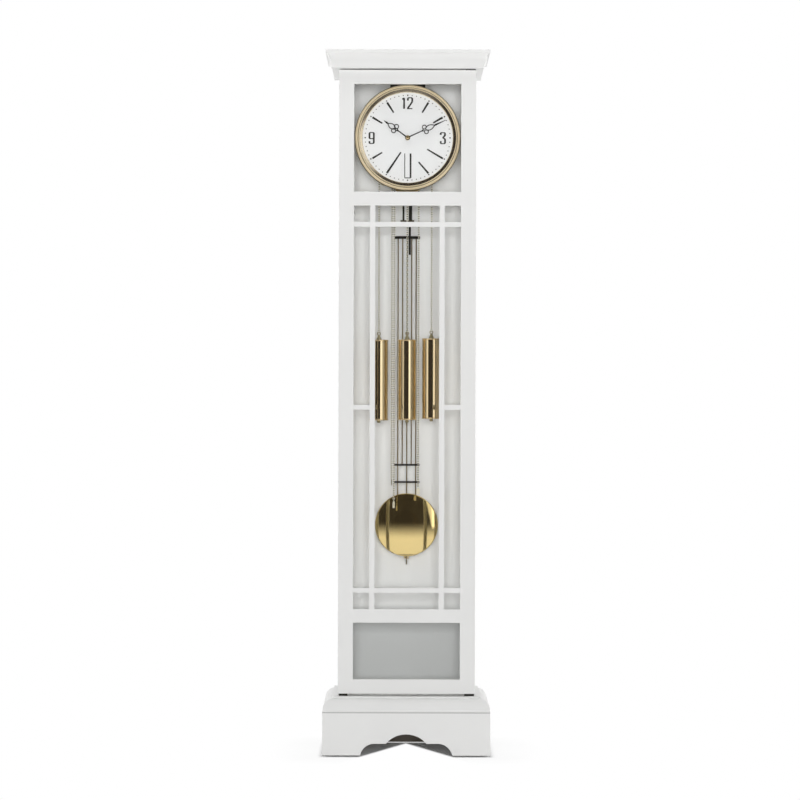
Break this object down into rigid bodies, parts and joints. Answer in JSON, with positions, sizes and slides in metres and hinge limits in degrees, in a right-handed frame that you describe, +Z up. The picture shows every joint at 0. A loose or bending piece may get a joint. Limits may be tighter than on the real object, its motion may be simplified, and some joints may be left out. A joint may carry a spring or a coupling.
{
  "type": "longcase clock",
  "caption": "White painted longcase clock with a full-height glazed door, round dial, gridiron pendulum and chain-hung brass weights.",
  "frame": {"origin": "middle of the footprint on the floor, under the glides", "axes": "+Z up along the case, -Y towards the viewer who faces the dial, +X to that viewer's right"},
  "size_m": [0.445, 0.28, 1.874],
  "materials": {
    "white_paint": "satin white paint on wood",
    "clear_glass": "clear polished",
    "polished_brass": "polished and lacquered",
    "gilt_bezel": "brushed gilt",
    "movement_brass": "machined",
    "bright_steel": "turned",
    "dark_steel": "blackened",
    "bronze_rod": "satin",
    "dial_white": "matt white",
    "hand_black": "satin black",
    "nylon": "moulded"
  },
  "bodies": {
    "case": {"plinth_front": "white_paint", "plinth_boards": "white_paint", "base_moulding": "white_paint", "corner_blocks": "white_paint", "case_floor": "white_paint", "side_left": "white_paint", "side_right": "white_paint", "back_panel": "white_paint", "top_boards": "white_paint", "crown_moulding": "white_paint", "seat_board": "white_paint", "chain_left": "polished_brass", "chain_centre": "polished_brass", "chain_right": "polished_brass", "dial_bezel": "gilt_bezel", "movement_front_plate": "movement_brass", "movement_back_plate": "movement_brass", "anchor_bridge": "movement_brass", "back_screws": "bright_steel", "movement_pillars": "bright_steel", "seat_bolts": "dark_steel", "dial_strap": "dark_steel", "case_fittings": "dark_steel", "dial_plate": "dial_white", "floor_glides": "nylon"},
    "door": {"stile_left": "white_paint", "stile_right": "white_paint", "top_rail": "white_paint", "dial_rail": "white_paint", "lower_rail": "white_paint", "bottom_rail": "white_paint", "glazing_bars": "white_paint", "door_glass": "clear_glass", "glass_beads": "white_paint", "door_fittings": "dark_steel"},
    "minute_train": {"minute_hand": "hand_black", "hand_nut": "polished_brass", "cannon_pinion": "movement_brass", "centre_arbor": "movement_brass"},
    "motion_wheel": {"minute_wheel": "movement_brass"},
    "hour_train": {"hour_hand": "hand_black", "hour_wheel": "movement_brass"},
    "third_arbor": {"third_wheel": "movement_brass"},
    "escape_arbor": {"escape_wheel": "movement_brass"},
    "pendulum": {"pendulum_leader": "dark_steel", "pendulum_rods": "bronze_rod", "pendulum_crossbars": "dark_steel"},
    "anchor_arbor": {"anchor": "bright_steel"},
    "bob": {"pendulum_bob": "polished_brass"},
    "nut": {"rating_nut": "polished_brass"},
    "left_weight": {"weight_left": "polished_brass"},
    "left_chain_wheel": {"chain_wheel_left": "movement_brass"},
    "left_chain_end": {"chain_tag_left": "polished_brass"},
    "centre_weight": {"weight_centre": "polished_brass"},
    "centre_chain_wheel": {"chain_wheel_centre": "movement_brass"},
    "centre_chain_end": {"chain_tag_centre": "polished_brass"},
    "right_weight": {"weight_right": "polished_brass"},
    "right_chain_wheel": {"chain_wheel_right": "movement_brass"},
    "right_chain_end": {"chain_tag_right": "polished_brass"}
  },
  "joints": [
    {"name": "door_hinge", "type": "hinge", "parent": "case", "child": "door", "pos_m": [0.1765, -0.092, 0.992], "axis": [0, 0, 1], "range_deg": [0, 105]},
    {"name": "minute_turn", "type": "hinge", "parent": "case", "child": "minute_train", "pos_m": [0, -0.07, 1.6476], "axis": [0, 1, 0], "continuous": true},
    {"name": "motion_turn", "type": "hinge", "parent": "case", "child": "motion_wheel", "pos_m": [0.0245, -0.05, 1.6476], "axis": [0, 1, 0], "continuous": true},
    {"name": "hour_turn", "type": "hinge", "parent": "case", "child": "hour_train", "pos_m": [0, -0.066, 1.6476], "axis": [0, 1, 0], "continuous": true},
    {"name": "third_turn", "type": "hinge", "parent": "case", "child": "third_arbor", "pos_m": [0.02216, -0.01, 1.62664], "axis": [0, 1, 0], "continuous": true},
    {"name": "escape_turn", "type": "hinge", "parent": "case", "child": "escape_arbor", "pos_m": [0, 0.028, 1.6121], "axis": [0, 1, 0], "continuous": true},
    {"name": "pendulum_swing", "type": "hinge", "parent": "case", "child": "pendulum", "pos_m": [0, 0.056, 1.6381], "axis": [0, 1, 0], "range_deg": [-3, 3]},
    {"name": "anchor_rock", "type": "hinge", "parent": "case", "child": "anchor_arbor", "pos_m": [0, 0.03, 1.6381], "axis": [0, 1, 0], "range_deg": [-3, 3]},
    {"name": "bob_slide", "type": "slide", "parent": "pendulum", "child": "bob", "axis": [0, 0, 1], "range_m": [-0.005, 0.005]},
    {"name": "nut_turn", "type": "hinge", "parent": "bob", "child": "nut", "pos_m": [0, 0.06, 0.5161], "axis": [0, 0, 1], "range_deg": [-1801, 1801]},
    {"name": "left_weight_slide", "type": "slide", "parent": "case", "child": "left_weight", "axis": [0, 0, 1], "range_m": [-0.68, 0.26], "deforming": ["chain_left"]},
    {"name": "left_wheel_turn", "type": "hinge", "parent": "case", "child": "left_chain_wheel", "pos_m": [-0.0586, -0.01, 1.545], "axis": [0, 1, 0], "range_deg": [-2227.4, 852.3]},
    {"name": "left_end_slide", "type": "slide", "parent": "case", "child": "left_chain_end", "axis": [0, 0, 1], "range_m": [-0.26, 0.68]},
    {"name": "centre_weight_slide", "type": "slide", "parent": "case", "child": "centre_weight", "axis": [0, 0, 1], "range_m": [-0.68, 0.26], "deforming": ["chain_centre"]},
    {"name": "centre_wheel_turn", "type": "hinge", "parent": "case", "child": "centre_chain_wheel", "pos_m": [-0.0173, -0.01, 1.545], "axis": [0, 1, 0], "range_deg": [-852.3, 2227.4]},
    {"name": "centre_end_slide", "type": "slide", "parent": "case", "child": "centre_chain_end", "axis": [0, 0, 1], "range_m": [-0.26, 0.68]},
    {"name": "right_weight_slide", "type": "slide", "parent": "case", "child": "right_weight", "axis": [0, 0, 1], "range_m": [-0.68, 0.26], "deforming": ["chain_right"]},
    {"name": "right_wheel_turn", "type": "hinge", "parent": "case", "child": "right_chain_wheel", "pos_m": [0.0482, -0.01, 1.545], "axis": [0, 1, 0], "range_deg": [-852.3, 2227.4]},
    {"name": "right_end_slide", "type": "slide", "parent": "case", "child": "right_chain_end", "axis": [0, 0, 1], "range_m": [-0.26, 0.68]}
  ],
  "couplings": [
    {"joint": "motion_turn", "follows": "minute_turn", "ratio": -0.33333},
    {"joint": "hour_turn", "follows": "minute_turn", "ratio": 0.083333},
    {"joint": "third_turn", "follows": "minute_turn", "ratio": -8},
    {"joint": "escape_turn", "follows": "minute_turn", "ratio": 60},
    {"joint": "anchor_rock", "follows": "pendulum_swing", "ratio": 1},
    {"joint": "nut_turn", "follows": "bob_slide", "rad_per_m": 6283.2},
    {"joint": "left_wheel_turn", "follows": "left_weight_slide", "rad_per_m": 57.143},
    {"joint": "left_end_slide", "follows": "left_weight_slide", "ratio": -1},
    {"joint": "centre_wheel_turn", "follows": "centre_weight_slide", "rad_per_m": -57.143},
    {"joint": "centre_end_slide", "follows": "centre_weight_slide", "ratio": -1},
    {"joint": "right_wheel_turn", "follows": "right_weight_slide", "rad_per_m": -57.143},
    {"joint": "right_end_slide", "follows": "right_weight_slide", "ratio": -1}
  ]
}
